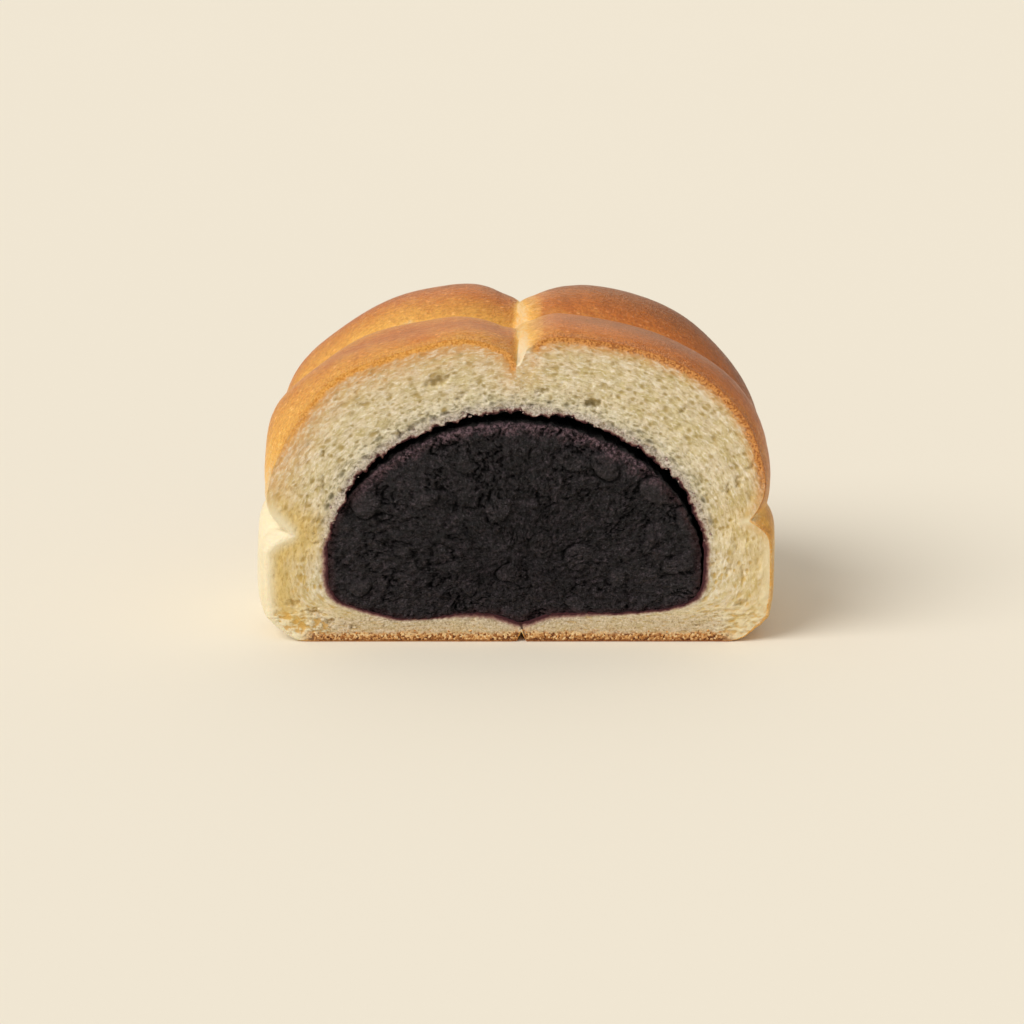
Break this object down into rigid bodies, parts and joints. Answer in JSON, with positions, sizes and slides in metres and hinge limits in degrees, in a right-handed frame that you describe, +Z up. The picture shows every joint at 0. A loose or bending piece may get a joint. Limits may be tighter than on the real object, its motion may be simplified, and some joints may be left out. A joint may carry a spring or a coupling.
{
  "type": "red bean bun half",
  "caption": "Half of a soft filled bun, cut straight across: plump browned lobes over pale crumb round a thick core of dark bean paste. Food that stands on its flat base.",
  "frame": {"origin": "middle of the base, below the middle of the whole half bun's bounding box", "axes": "+X to the right across the cut, the longest way; -Y out of the cut face; +Z up from the base to the lobes"},
  "size_m": [0.0972, 0.0606, 0.0616],
  "materials": {
    "bread": "soft bread with a satin golden-brown crust and a pale, porous crumb at the cut",
    "bean_paste": "moist, near-black bean paste with pieces of bean in it"
  },
  "bodies": {
    "root": {"bread": "bread", "bean_paste": "bean_paste"}
  },
  "joints": []
}
